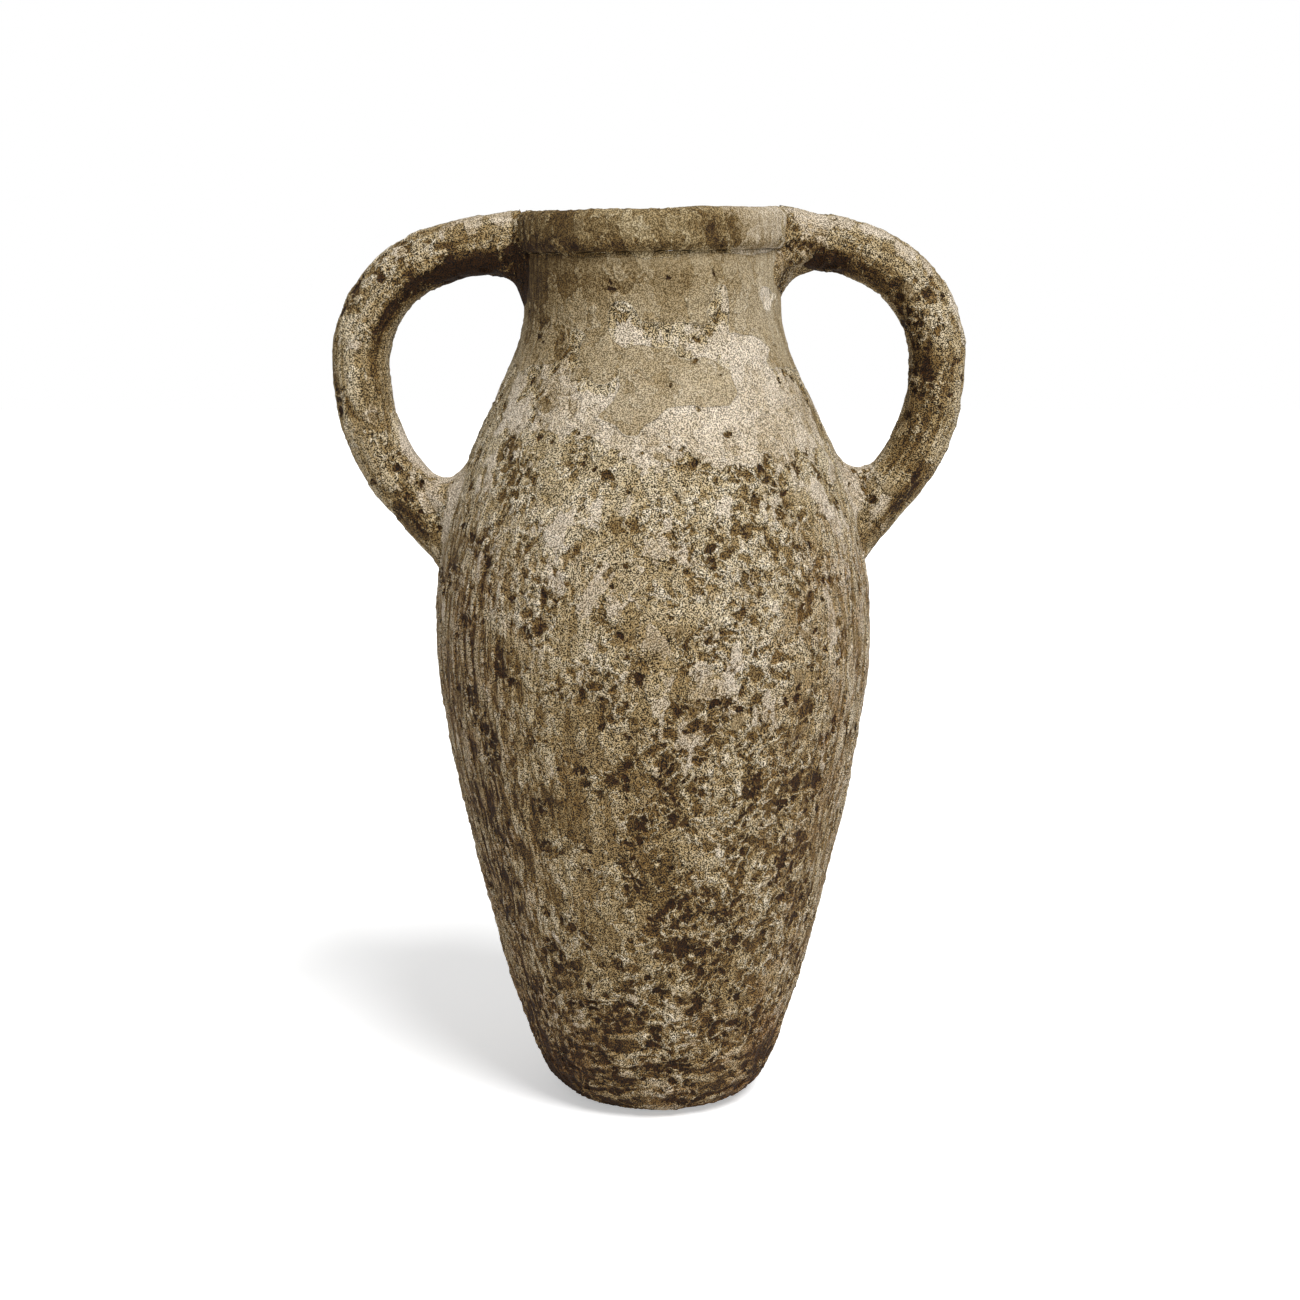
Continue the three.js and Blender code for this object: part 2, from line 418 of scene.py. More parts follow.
def patch_sum(patches, azimuth, height):
    """Sum of the patches at each vertex of the pot."""
    total = np.zeros_like(height)
    radius = radius_at(np.clip(height, 0.02, None))
    for centre, level, half_width, half_height, strength in patches:
        across = turn_between(azimuth, math.radians(centre)) * radius / (half_width * MM)
        up = (height - level * MM) / (half_height * MM)
        total += strength * np.exp(-PATCH_FALL * (across ** 2 + up ** 2))
    return total


def groove_shade(azimuth, height):
    """Painted shade along the rim band's lower edge, darkest just left of the front."""
    strength = 0.3 + 0.55 * ramp(azimuth, -0.7, -0.3) - 0.4 * ramp(azimuth, 0.0, 0.2)
    return strength * np.exp(-((height - GROOVE_LEVEL) / GROOVE_HALF) ** 2)


def trowelled_share(azimuth, height):
    """Where the smooth trowelled coat lies: on the neck, up to the rim band."""
    share = np.clip(ramp(height, 0.455, 0.475) + patch_sum(TROWEL, azimuth, height), 0, 1)
    return share * (1 - ramp(height, 0.530, 0.536))


def brush_streaks(azimuth, side, lower):
    """Upright brush streaks: on both flanks, and on the left of the lower front."""
    streaks = ramp(side, 0.55, 0.95) * (0.35 + 0.65 * lower)
    return streaks + 0.8 * np.exp(-((azimuth + 0.72) / 0.36) ** 2) * lower


def rust_stain(height, side, lower):
    """Bare rust-brown clay: at the foot, and faintly on the lower flanks."""
    foot = (1 - ramp(height, 0.01, 0.12)) * (0.35 + 0.4 * side)
    return foot + (0.2 + 0.4 * ramp(side, 0.4, 0.9)) * lower


def paint_pot(piece, points, inside):
    """Coat and wear of a piece of the pot. inside is 1 for the vertices of the inner skin."""
    azimuth, height = np.arctan2(points[:, 0], -points[:, 1]), points[:, 2]
    side = np.abs(np.sin(azimuth))
    lower = 1 - ramp(height, 0.33, 0.42)
    wash = patch_sum(WASH, azimuth, height)
    trowelled = trowelled_share(azimuth, height)
    pits = BASE_PITS + patch_sum(PITS, azimuth, height)
    pits = pits * (1 - 0.5 * ramp(side, 0.75, 1.0)) - 0.3 * trowelled
    streaks = brush_streaks(azimuth, side, lower)
    rings = 1 - ramp(height, 0.05, 0.11)
    rust = rust_stain(height, side, lower)
    tone = patch_sum(TONE, azimuth, height) - groove_shade(azimuth, height)
    outside = 1 - inside
    write_attribute(piece, "coat", np.stack([wash * outside, trowelled * outside, pits * outside], axis=1))
    write_attribute(piece, "wear", np.stack([streaks * outside, rings * outside, rust], axis=1))
    write_attribute(piece, "tone", tone * outside + INSIDE_TONE * inside)


# Patches on a handle: (share of its length from the upper root; angle in degrees, 0 away from the loop,
# 90 to the front, 180 in the loop; half length share; half angle; strength). Left is -1, right is 1.
HANDLE_WASH = {
    -1: [
        (0.09, 30, 0.07, 30, 1.0),
        (0.24, 60, 0.04, 40, 0.6),
        (0.76, 165, 0.09, 22, 1.1),
        (0.9, 130, 0.06, 40, 1.0),
        (0.7, -90, 0.2, 60, 0.6),
    ],
    1: [
        (0.05, 50, 0.06, 60, 0.9),
        (0.28, 35, 0.16, 25, 0.8),
        (0.93, 140, 0.05, 60, 0.9),
        (0.5, -90, 0.2, 60, 0.6),
    ],
}
# The dark patches in the loop, at angles 124 to 150, and the darkest ones near the lower root are painted
# shade under the arch; the others change the coil's tone.
HANDLE_TONE_AND_SHADE = {
    -1: [
        (0.08, 150, 0.10, 36, -3.2),
        (0.2, 140, 0.10, 26, -2.2),
        (0.42, 124, 0.20, 14, -1.9),
        (0.32, 100, 0.08, 20, -0.5),
        (0.45, 26, 0.20, 9, -1.3),
        (0.60, 100, 0.06, 14, -0.8),
        (0.76, 165, 0.08, 24, 1.4),
        (0.88, 62, 0.08, 26, -2.2),
        (0.3, 20, 0.08, 25, 0.8),
        (0.1, 60, 0.05, 35, -0.9),
    ],
    1: [
        (0.08, 150, 0.08, 50, -2.4),
        (0.2, 140, 0.14, 26, -1.0),
        (0.45, 135, 0.3, 22, -1.3),
        (0.25, 25, 0.2, 30, 0.3),
        (0.56, 105, 0.05, 30, -1.0),
        (0.68, 95, 0.12, 45, -0.8),
        (0.86, 60, 0.08, 20, -2.4),
        (0.86, 160, 0.05, 30, 1.2),
    ],
}
HANDLE_PITS = {
    -1: [(0.25, 60, 0.06, 40, 0.4), (0.85, 60, 0.1, 80, 0.3), (0.38, 40, 0.06, 30, 0.5)],
    1: [(0.42, 90, 0.05, 50, 0.5), (0.62, 90, 0.1, 40, 0.7), (0.1, 40, 0.06, 50, 0.5)],
}
HANDLE_STREAKS = 0.4
HANDLE_RUST = 0.15
CRACK_SHADE = 3.0  # how much darker the painted shade in the open joint at the left handle's upper root is


def handle_patch_sum(patches, share, turn):
    """Sum of the patches at each vertex of a handle."""
    total = np.zeros_like(share)
    for centre, angle, half_share, half_angle, strength in patches:
        along = (share - centre) / half_share
        around = turn_between(turn, math.radians(angle)) / math.radians(half_angle)
        total += strength * np.exp(-PATCH_FALL * (along ** 2 + around ** 2))
    return total


def paint_handle(piece, side, share, turn, gap):
    """Coat, wear and painted shade of a handle. gap is 1 where its joint with the rim is open."""
    wash = handle_patch_sum(HANDLE_WASH[side], share, turn)
    tone = handle_patch_sum(HANDLE_TONE_AND_SHADE[side], share, turn) - CRACK_SHADE * gap
    pits = handle_patch_sum(HANDLE_PITS[side], share, turn)
    none = np.zeros_like(share)
    write_attribute(piece, "coat", np.stack([wash, none, pits], axis=1))
    write_attribute(piece, "wear", np.stack([HANDLE_STREAKS + none, none, HANDLE_RUST + none], axis=1))
    write_attribute(piece, "tone", tone)


class WadLook(NamedTuple):
    """A wad of clay pressed into the corner between a handle's coil and the wall. Lengths are in mm."""

    coil: float  # how far it reaches along the coil, inside the loop
    wall: float  # how far it reaches along the wall, inside the loop
    thin: float  # how far it reaches along both, outside the loop
    fill: float  # 0 hollows its flank as far as the corner, 1 leaves it straight
    phase: float  # turns the waves of its ragged edge
    wash: float  # pale wash, inside the loop
    tone: float  # lighter or darker, inside the loop


# The upper wads' dark tone inside the loop is painted shade under the handle's top, nearly black at the left
# one.
WADS = {
    "handle_left_upper_wad": WadLook(24, 22, 3, 0.35, 0.4, -1.0, -3.0),
    "handle_left_lower_wad": WadLook(25, 27, 4, 0.4, 1.9, 1.0, 0.1),
    "handle_right_upper_wad": WadLook(22, 22, 8, 0.45, 2.7, 0.3, -1.0),
    "handle_right_lower_wad": WadLook(22, 25, 4, 0.4, 3.6, 1.0, 0.1),
}
WAD_PITS = 0.4
OUTER_WAD_TONE = -0.7  # outside the loop


def paint_wad(piece, look, turn):
    """Coat and wear of a wad, and the painted shade under an upper one. turn is 0 away from the loop and half
    a turn in it.
    """
    in_loop = ramp(-np.cos(turn), -0.5, 0.5)
    none = np.zeros_like(turn)
    write_attribute(piece, "coat", np.stack([look.wash * in_loop, none, WAD_PITS + none], axis=1))
    write_attribute(piece, "wear", np.stack([none, none, HANDLE_RUST + none], axis=1))
    write_attribute(piece, "tone", look.tone * in_loop + OUTER_WAD_TONE * (1 - in_loop))


# ---------- nodes that geometry and shader trees share ----------

class Nodes:
    """Adds nodes to a tree and returns their output sockets."""

    def __init__(self, tree):
        self.tree = tree
        self.is_geometry = tree.bl_idname == "GeometryNodeTree"

    def add(self, kind, inputs, **settings):
        node = self.tree.nodes.new(kind)
        for name, value in settings.items():
            setattr(node, name, value)
        for key, value in inputs.items():
            if isinstance(value, bpy.types.NodeSocket):
                self.tree.links.new(value, node.inputs[key])
            else:
                node.inputs[key].default_value = value
        return node

    def attribute(self, name, kind="FLOAT_VECTOR"):
        if self.is_geometry:
            node = self.add("GeometryNodeInputNamedAttribute", {"Name": name}, data_type=kind)
            return node.outputs["Attribute"]
        node = self.add("ShaderNodeAttribute", {}, attribute_name=name)
        return node.outputs["Vector" if kind == "FLOAT_VECTOR" else "Fac"]

    def split(self, vector):
        """The three numbers of a vector or colour."""
        return self.add("ShaderNodeSeparateXYZ", {0: vector}).outputs[:3]

    def math(self, operation, a, b=0.0):
        return self.add("ShaderNodeMath", {0: a, 1: b}, operation=operation).outputs[0]

    def plus(self, a, b):
        return self.math("ADD", a, b)

    def minus(self, a, b):
        return self.math("SUBTRACT", a, b)

    def times(self, a, b):
        return self.math("MULTIPLY", a, b)

    def larger(self, a, b):
        return self.math("MAXIMUM", a, b)

    def distance(self, a, b):
        return self.math("ABSOLUTE", self.minus(a, b))

    def without(self, field, share):
        """1 where the field is 0, and less by share where it is 1."""
        return self.minus(1.0, self.times(field, share))

    def total(self, parts):
        """Sum of the fields, each times its weight."""
        products = [self.times(field, weight) for field, weight in parts]
        total = products[0]
        for product in products[1:]:
            total = self.plus(total, product)
        return total

    def vector(self, operation, a, b):
        return self.add("ShaderNodeVectorMath", {0: a, 1: b}, operation=operation).outputs[0]

    def scaled(self, vector, factor):
        inputs = {0: vector, "Scale": factor}
        return self.add("ShaderNodeVectorMath", inputs, operation="SCALE").outputs[0]

    def step(self, value, start, end, low=0.0, high=1.0):
        """low before start, high after end, smooth between them."""
        inputs = {"Value": value, "From Min": start, "From Max": end, "To Min": low, "To Max": high}
        node = self.add("ShaderNodeMapRange", inputs, interpolation_type="SMOOTHSTEP")
        return node.outputs["Result"]

    def noise(self, at, scale, detail=2.0, roughness=0.5, output="Fac"):
        """Noise from 0 to 1. scale is how many features fit in a metre."""
        inputs = {"Vector": at, "Scale": scale, "Detail": detail, "Roughness": roughness}
        return self.add("ShaderNodeTexNoise", inputs).outputs[output]

    def wave(self, at, scale, detail=2.0, roughness=0.5):
        """Noise from -0.5 to 0.5."""
        return self.minus(self.noise(at, scale, detail, roughness), 0.5)

    def drift(self, at, scale):
        """A vector that wanders slowly with the place, each part from -0.5 to 0.5."""
        return self.vector("SUBTRACT", self.noise(at, scale, 1.0, output="Color"), (0.5, 0.5, 0.5))

    def cells(self, at, scale):
        """Distance to the nearest cell's middle, and that cell's random number from 0 to 1."""
        inputs = {"Vector": at, "Scale": scale, "Randomness": 1.0}
        node = self.add("ShaderNodeTexVoronoi", inputs, feature="F1")
        return node.outputs["Distance"], self.split(node.outputs["Color"])[0]

    def blend(self, share, a, b):
        inputs = {0: share, 6: a, 7: b}
        return self.add("ShaderNodeMix", inputs, data_type="RGBA").outputs[2]


class Relief:
    """The clay's relief as sockets of a node tree, with the fields that its colour needs.

    It reads what write_attribute stored: rest and grain, the coat (wash, trowelled, pits) and the wear
    (streaks, rings, rust). A field runs from 0 to 1, or about 0 where it can both raise and lower.
    """

    def __init__(self, n):
        self.n = n
        self.rest, self.grain = n.attribute("rest"), n.attribute("grain")
        self.wash_paint, self.trowel_paint, self.pit_paint = n.split(n.attribute("coat"))
        self.streak_paint, self.ring_paint, self.rust = n.split(n.attribute("wear"))
        self.bend_places()
        self.lay_coats()
        self.flake_skin()
        self.pit_skin()
        self.draw_tool_marks()
        self.raise_skin()

    def bend_places(self):
        """Places bent by noise, so that no mark has a smooth outline, and the noise of small crumbs."""
        n = self.n
        self.slow = n.drift(self.rest, 55.0)
        self.bent = n.vector("ADD", self.rest, n.scaled(self.slow, 10 * MM))
        self.ragged = n.vector("ADD", self.bent, n.scaled(n.drift(self.rest, 230.0), 5 * MM))
        self.tall = n.vector("MULTIPLY", self.ragged, (1.0, 1.0, 0.55))
        self.crumb = n.wave(self.bent, 150.0, 2.0, 0.55)
        self.cloud = n.wave(self.bent, 22.0, 2.5, 0.55)

    def lay_coats(self):
        """The trowelled coat, the pale wash, and how rough the skin is left between them."""
        n = self.n
        coat_field = n.plus(n.noise(self.bent, 34.0, 1.0), n.times(n.minus(self.trowel_paint, 0.5), 0.44))
        self.trowel = n.step(coat_field, 0.50, 0.52)
        edge = n.step(n.distance(coat_field, 0.51), 0.014, 0.004)
        self.trowel_edge = n.times(edge, n.step(self.trowel_paint, 0.05, 0.2))
        wash_field = n.plus(n.noise(self.tall, 66.0, 3.0, 0.58), n.times(n.minus(self.wash_paint, 0.5), 0.28))
        self.wash = n.times(n.step(wash_field, 0.50, 0.55), n.without(self.trowel, 0.8))
        self.coarse = n.step(self.pit_paint, -0.6, 0.1, 0.4, 1.0)
        bare = n.times(n.without(self.wash, 0.65), n.without(self.trowel, 0.6))
        self.rough = n.times(bare, self.coarse)

    def flake_skin(self):
        """Shallow steps where the skin has chipped off, and the raised edges along them."""
        n = self.n
        chip_field = n.wave(self.tall, 64.0, 3.0, 0.55)
        self.chip = n.minus(n.step(chip_field, -0.015, 0.02), 0.5)
        edge = n.step(n.distance(chip_field, 0.02), 0.020, 0.004)
        self.chip_edge = n.times(edge, n.larger(self.rough, n.times(self.trowel, 0.6)))

    def pit_skin(self):
        """Clusters of pits, in a net of pale lips with dark valleys between them."""
        n = self.n
        cluster = n.wave(self.rest, 40.0, 1.0)
        density = n.plus(n.times(self.pit_paint, 0.42), n.times(cluster, 1.8))
        netted = n.times(n.step(density, 0.06, 0.42), self.rough)
        off = n.distance(n.noise(self.ragged, 120.0, 1.0), 0.5)
        valley = n.times(n.step(off, 0.05, 0.13), netted)
        net = n.times(n.step(off, 0.035, 0.010), netted)
        lip = n.larger(net, n.times(self.chip_edge, 0.6))
        broken_lip = n.times(lip, n.step(self.crumb, -0.06, 0.05, 0.25, 1.0))
        self.lip = n.larger(broken_lip, n.times(self.trowel_edge, 0.7))
        self.pit = n.larger(self.hollows(density), n.times(valley, 0.65))

    def hollows(self, density):
        """Single hollows with frayed edges, in more of the cells where density is high."""
        n = self.n
        frayed = n.wave(self.rest, 420.0, 1.0)
        reach, chance = n.cells(self.ragged, 120.0)
        smooth = n.times(n.minus(1.0, self.rough), 0.2)
        share = n.minus(n.times(density, 0.56), n.plus(0.03, smooth))
        spare = n.minus(n.times(n.minus(share, chance), 0.9), n.plus(reach, n.times(frayed, 0.5)))
        return n.step(n.plus(spare, 0.38), -0.04, 0.12)

    def draw_tool_marks(self):
        """Brush streaks along the wall or the coil, and rings that were turned round the foot."""
        n = self.n
        drawn = n.vector("MULTIPLY", self.grain, (1.0, 1.0, 0.10))
        streak = n.step(n.noise(drawn, 270.0, 2.0, 0.6), 0.40, 0.60)
        self.streak = n.times(n.minus(streak, 0.5), self.streak_paint)
        wander = n.vector("MULTIPLY", self.slow, (20 * MM, 20 * MM, 12 * MM))
        turned = n.vector("MULTIPLY", n.vector("ADD", self.grain, wander), (0.3, 0.3, 1.0))
        ring = n.step(n.noise(turned, 190.0, 2.0, 0.6), 0.42, 0.60)
        self.ring = n.times(n.minus(ring, 0.5), self.ring_paint)

    def raise_skin(self):
        """How far the skin stands out, in metres. skin is the part of it that the marks make."""
        n = self.n
        swell, lump = n.wave(self.rest, 13.0, 1.0), n.wave(self.rest, 48.0, 1.0)
        form = n.total([(swell, 2.2 * MM), (lump, 1.5 * MM)])
        self.skin = n.total([
            (self.pit, -0.9 * MM),
            (self.lip, 0.5 * MM),
            (self.chip, n.times(self.rough, 0.5 * MM)),
            (self.streak, 0.45 * MM),
            (self.ring, 0.6 * MM),
            (self.trowel, 0.5 * MM),
            (self.wash, 0.3 * MM),
            (self.crumb, n.times(self.rough, 1.4 * MM)),
        ])
        self.height = n.plus(form, self.skin)


# ---------- growing the relief ----------

def relief_tree():
    """Geometry nodes that move each vertex along its outward direction by the relief's height."""
    tree = bpy.data.node_groups.new("relief", "GeometryNodeTree")
    tree.interface.new_socket("Geometry", in_out="INPUT", socket_type="NodeSocketGeometry")
    tree.interface.new_socket("Geometry", in_out="OUTPUT", socket_type="NodeSocketGeometry")
    n = Nodes(tree)
    skin = n.add("NodeGroupInput", {}).outputs[0]
    push = n.scaled(n.attribute("outward"), Relief(n).height)
    moved = n.add("GeometryNodeSetPosition", {"Geometry": skin, "Offset": push}).outputs[0]
    n.add("NodeGroupOutput", {0: moved})
    return tree


def grow_relief(piece, tree):
    """Applies the relief to the piece's mesh, so that no modifier is left."""
    modifier = piece.modifiers.new("relief", "NODES")
    modifier.node_group = tree
    shown = piece.evaluated_get(bpy.context.evaluated_depsgraph_get())
    grown = bpy.data.meshes.new_from_object(shown)
    piece.modifiers.remove(modifier)
    old = piece.data
    piece.data = grown
    bpy.data.meshes.remove(old)
    grown.name = piece.name


# ---------- clay material ----------

def new_material(name):
    """A material, its nodes and its shader."""
    material = bpy.data.materials.new(name)
    material.use_nodes = True
    return material, Nodes(material.node_tree), material.node_tree.nodes["Principled BSDF"]


def srgb(red, green, blue):
    """Linear colour from 8-bit sRGB."""
    return tuple((c / 255) ** 2.2 for c in (red, green, blue)) + (1.0,)


LIME = srgb(198, 185, 171)
RUST = srgb(108, 72, 36)
OLIVE = srgb(142, 125, 98)
# The clay's colour at each tone: umber for dirt and painted shade, brown, khaki, sand and pale ridges.
TONE_COLOURS = [
    (0.07, srgb(46, 29, 9)),
    (0.28, srgb(94, 74, 42)),
    (0.50, srgb(138, 120, 86)),
    (0.74, srgb(173, 158, 126)),
    (1.0, srgb(208, 196, 172)),
]
BASE_TONE = 0.54  # tone of plain clay, where 0 is the darkest, for dirt and painted shade alike, and 1 the palest ridge
PAINTED_TONE = 0.22  # change of tone for a painted patch of strength 1
# Change of tone where a field of the relief is 1.
FIELD_TONES = {
    "pit": -0.44,
    "lip": 0.38,
    "chip": 0.13,
    "crumb": 0.16,
    "streak": 0.40,
    "ring": 0.42,
    "wash": 0.11,
    "trowel": -0.04,
    "cloud": 0.28,
}
GRAIN_TONE = 0.10  # change of tone for the grains of sand and grit
SAND_CONTRAST = 1.7  # how much a grain of sand brightens or darkens the finished colour
SAND_HEIGHT, GRIT_HEIGHT = 0.12 * MM, 0.2 * MM
SKIN_BUMP = 1.3  # the bump repeats the skin's relief finer than the mesh can, this much of it
SHINE = 0.25  # strength of the clay's faint reflections


def clay_tone(n, relief, grains):
    tone = n.plus(BASE_TONE, n.times(n.attribute("tone", "FLOAT"), PAINTED_TONE))
    for field, weight in FIELD_TONES.items():
        tone = n.plus(tone, n.times(getattr(relief, field), weight))
    return n.plus(tone, n.times(grains, GRAIN_TONE))


def tone_colour(n, tone):
    node = n.add("ShaderNodeValToRGB", {"Fac": tone})
    stops = node.color_ramp.elements
    stops.remove(stops[1])
    stops[0].position, stops[0].color = TONE_COLOURS[0]
    for position, colour in TONE_COLOURS[1:]:
        stops.new(position).color = colour
    return node.outputs["Color"]


def stain(n, relief, tone, colour):
    """Lime in the wash, olive in the trowelled coat and rust in the bare clay."""
    lime = n.times(relief.wash, n.step(tone, 0.30, 0.85, 0.0, 0.5))
    colour = n.blend(lime, colour, LIME)
    olive = n.times(relief.trowel, n.step(tone, 0.25, 0.60, 0.0, 0.4))
    colour = n.blend(olive, colour, OLIVE)
    warm = n.step(n.noise(relief.rest, 50.0, 2.0, 0.6), 0.45, 0.62)
    painted_rust = n.plus(relief.rust, n.times(relief.pit, 0.15))
    rust = n.times(painted_rust, n.plus(0.3, n.times(warm, 0.35)))
    rust = n.times(rust, n.step(tone, 0.05, 0.50, 0.2, 1.0))
    return n.blend(rust, colour, RUST)


def sprinkle(n, relief, tone, sand, colour):
    """Grains of sand, which brighten and darken the finished colour, less where a coat covers them."""
    calm = n.larger(n.times(relief.wash, 0.3), n.times(relief.trowel, 0.4))
    speck = n.times(sand, n.times(relief.coarse, n.minus(1.0, calm)))
    colour = n.scaled(colour, n.plus(1.0, n.times(speck, SAND_CONTRAST)))
    pale_grain = n.times(n.larger(speck, 0.0), n.step(tone, 0.40, 0.80, 0.0, 0.7))
    return n.blend(pale_grain, colour, LIME)


def clay_material(name):
    material, n, shader = new_material(name)
    relief = Relief(n)
    sand = n.minus(n.step(n.noise(relief.rest, 1500.0, 0.0), 0.42, 0.58), 0.5)
    grit = n.minus(n.step(n.noise(relief.rest, 430.0, 1.0, 0.6), 0.34, 0.66), 0.5)
    tone = clay_tone(n, relief, n.plus(grit, sand))
    colour = stain(n, relief, tone, tone_colour(n, tone))
    colour = sprinkle(n, relief, tone, sand, colour)
    roughness = n.step(tone, 0.1, 0.9, 0.82, 0.97)
    fine = n.total([(sand, SAND_HEIGHT), (grit, GRIT_HEIGHT), (relief.skin, SKIN_BUMP)])
    bump = n.add("ShaderNodeBump", {"Height": fine, "Strength": 1.0, "Distance": 1.0})
    for socket, field in (("Base Color", colour), ("Roughness", roughness), ("Normal", bump.outputs[0])):
        n.tree.links.new(field, shader.inputs[socket])
    shader.inputs["Specular IOR Level"].default_value = SHINE
    return material


# ---------- pieces of the pot ----------

RELIEF = relief_tree()
BACK_RELIEF = 0.5  # share of the relief on the inner skin
BACK_DETAIL = 0.2  # share of the bake map that the inner skin gets for its length


def tilt_at(x, z):
    """How much higher the tilted rim stands at x than the true one."""
    return x * math.tan(RIM_TILT) * ramp(z, TILT_START, TILT_FULL)


def lean(points):
    """Shifts what is low to +X, as the hand-made pot does."""
    shift = FOOT_SHIFT * (1 - np.clip(points[..., 2] / LEAN_TOP, 0, 1))
    return points + shift[..., None] * np.array([1.0, 0.0, 0.0])


def stray(points):
    """Leans the pot and tilts its rim."""
    rise = tilt_at(points[..., 0], points[..., 2])
    return lean(points) + rise[..., None] * np.array([0.0, 0.0, 1.0])


def turned(section):
    """Grid of points from a section of (radius, height) points turned about the axis."""
    angle = 2 * math.pi * np.arange(ROUND_COLUMNS) / ROUND_COLUMNS + math.pi / 2
    radius, height = section[:, 0], section[:, 1]
    x = np.outer(radius, np.cos(angle))
    y = np.outer(radius, np.sin(angle))
    z = np.repeat(height[:, None], ROUND_COLUMNS, axis=1)
    return np.stack([x, y, z], axis=-1)


def mark_sharp_rows(piece, rows):
    """Keeps the shading crisp where the skin turns into a joint face."""
    sharp = np.zeros(len(piece.data.edges), bool)
    ends = np.zeros(len(piece.data.edges) * 2, np.int32)
    piece.data.edges.foreach_get("vertices", ends)
    row = ends.reshape(-1, 2) // ROUND_COLUMNS
    for one in rows:
        sharp |= (row[:, 0] == one) & (row[:, 1] == one)
    layer = piece.data.attributes.new("sharp_edge", "BOOLEAN", "EDGE")
    layer.data.foreach_set("value", sharp)


def finish_piece(piece, rest, grain, outward, node, material):
    """Stores where the skin is and where it grows, grows it, and hands the piece to the frame."""
    write_attribute(piece, "rest", rest)
    write_attribute(piece, "grain", grain)
    write_attribute(piece, "outward", outward)
    grow_relief(piece, RELIEF)
    piece.data.materials.append(material)
    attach(piece, "root")
    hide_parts(node)


def inner_section(low, high):
    """The inner skin between two heights, from the top down, a wall's thickness behind the outline."""
    outside = resample(outline_between(low + SEAM, high - SEAM), INNER_STEP)
    along = headings(outside)
    inwards = np.stack([-along[:, 1], along[:, 0]], axis=1)
    inwards[[0, -1]] = [-1, 0]
    return (outside + WALL * inwards)[::-1]


def wall_piece(node, low, high, material):
    """A ring of wall between two heights, closed by flat joint faces."""
    skin = resample(outline_between(low, high), SKIN_STEP)
    back = inner_section(low, high)
    section = np.concatenate([skin, back])
    closed = np.concatenate([section, section[:1]])
    row = np.arange(len(section))
    places = spread(legs(closed), np.where(row >= len(skin) - 1, BACK_DETAIL, 1.0))
    skin_grid, back_grid = turned(skin), turned(back)
    points = np.concatenate([skin_grid, back_grid])
    outward = np.concatenate([directions(skin_grid), BACK_RELIEF * directions(back_grid)]).reshape(-1, 3)
    piece = make_piece(node + "_clay", stray(points), places, strips=2, wrap_rows=True)
    inside = np.repeat(row >= len(skin), ROUND_COLUMNS).astype(float)
    rest = points.reshape(-1, 3)
    paint_pot(piece, rest, inside)
    mark_sharp_rows(piece, [0, len(skin) - 1, len(skin), len(section) - 1])
    finish_piece(piece, rest, rest, outward, node, material)


def base_piece(material):
    """The floor slab, with its rounded edge and a plain top inside the pot."""
    top = JOINTS[0]
    heel = OUTLINE[(OUTLINE[:, 1] < top) & (OUTLINE[:, 0] > POLE_RING)]
    edge = resample(np.concatenate([heel, [[radius_at(top), top]]]), SKIN_STEP)
    floor_rows = 12
    floor_radius = np.linspace(edge[-1, 0] - 2 * MM, POLE_RING, floor_rows)
    floor = np.stack([floor_radius, np.full(floor_rows, top - SEAM)], axis=1)
    section = np.concatenate([edge, floor])
    points = turned(section)
    places = spread(legs(section), 1.0)
    poles = [(FOOT_SHIFT, 0, 0), (FOOT_SHIFT, 0, top - SEAM)]
    piece = make_piece("base_slab_clay", stray(points), places, strips=4, poles=poles)
    rest = np.concatenate([points.reshape(-1, 3), poles])
    is_floor = np.arange(len(rest)) >= len(edge) * ROUND_COLUMNS
    outward = directions(turned(edge)).reshape(-1, 3)
    outward = np.concatenate([outward, np.zeros((len(rest) - len(outward), 3))])
    outward *= ramp(rest[:, 2], 0.3 * MM, 5 * MM)[:, None]  # what stands on the floor stays flat
    paint_pot(piece, rest, is_floor.astype(float))
    mark_sharp_rows(piece, [len(edge) - 1])
    finish_piece(piece, rest, rest, outward, "base_slab", material)


def rim_section():
    """Closed (radius, height) section of the rim, in order round its middle."""
    corners = np.array([v.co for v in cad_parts["rim_band"].data.vertices])
    pairs = np.stack([np.hypot(corners[:, 0], corners[:, 1]), corners[:, 2]], axis=1)
    pairs = np.unique(np.round(pairs, 5), axis=0)
    middle = (pairs.min(axis=0) + pairs.max(axis=0)) / 2
    turn = np.arctan2(pairs[:, 1] - middle[1], pairs[:, 0] - middle[0])
    order = np.argsort(turn)
    loop = np.concatenate([pairs[order], pairs[order][:1]])
    step, overlap = 0.5 * MM, 20
    even = resample(loop, step)[:-1]
    ring = np.concatenate([even[-overlap:], even, even[:overlap]])
    return soften(ring, step, RIM_ROUNDING)[overlap:-overlap]


RIM_SECTION = rim_section()
RIM_RADIUS = RIM_SECTION[:, 0].max()
MOUTH_START, MOUTH_FULL = 71 * MM, 67 * MM  # between these radii the rim's paint turns into the inside's


def rim_piece(material):
    section = resample(np.concatenate([RIM_SECTION, RIM_SECTION[:1]]), RIM_STEP)[:-1]
    points = turned(section)
    places = np.linspace(0, 1, len(section) + 1)
    piece = make_piece("rim_band_clay", stray(points), places, strips=4, wrap_rows=True)
    rest = points.reshape(-1, 3)
    outward = directions(points, wrap_rows=True).reshape(-1, 3)
    radius = np.hypot(rest[:, 0], rest[:, 1])
    paint_pot(piece, rest, ramp(-radius, -MOUTH_START, -MOUTH_FULL))
    finish_piece(piece, rest, rest, outward, "rim_band", material)


